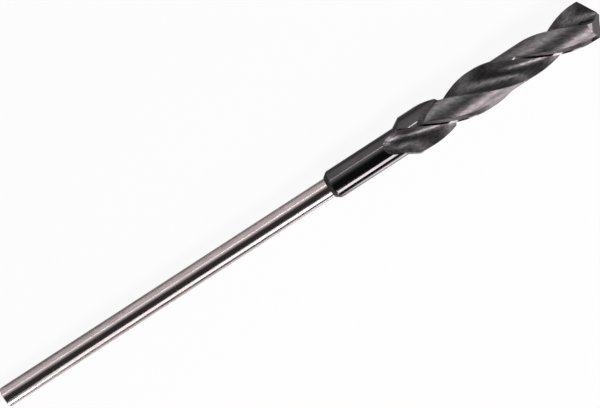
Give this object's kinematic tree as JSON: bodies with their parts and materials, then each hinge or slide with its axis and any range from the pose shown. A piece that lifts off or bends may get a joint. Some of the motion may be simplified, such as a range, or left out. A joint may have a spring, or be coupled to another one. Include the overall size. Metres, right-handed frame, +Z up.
{
  "type": "drill bit",
  "caption": "Long formwork drill bit: a dark twist-fluted head with a ground point, on a slim bright round shank.",
  "frame": {"origin": "on the ground under the middle of the drill as it lies", "axes": "+X towards the tip, +Z up; the drill's axis rises 1.14 degrees towards the tip because the head is thicker than the rod, and the drill is turned so that it lies on a heel's rear corner and on the other land's edge, where it has rolled to rest"},
  "size_m": [0.4, 0.024, 0.0255],
  "materials": {
    "head_steel": "blackened high-speed steel, polished on the neck and margins, satin in the flutes",
    "rod_steel": "bright drawn and ground steel"
  },
  "bodies": {
    "root": {"fluted_head": "head_steel", "shank_rod": "rod_steel"}
  },
  "joints": []
}
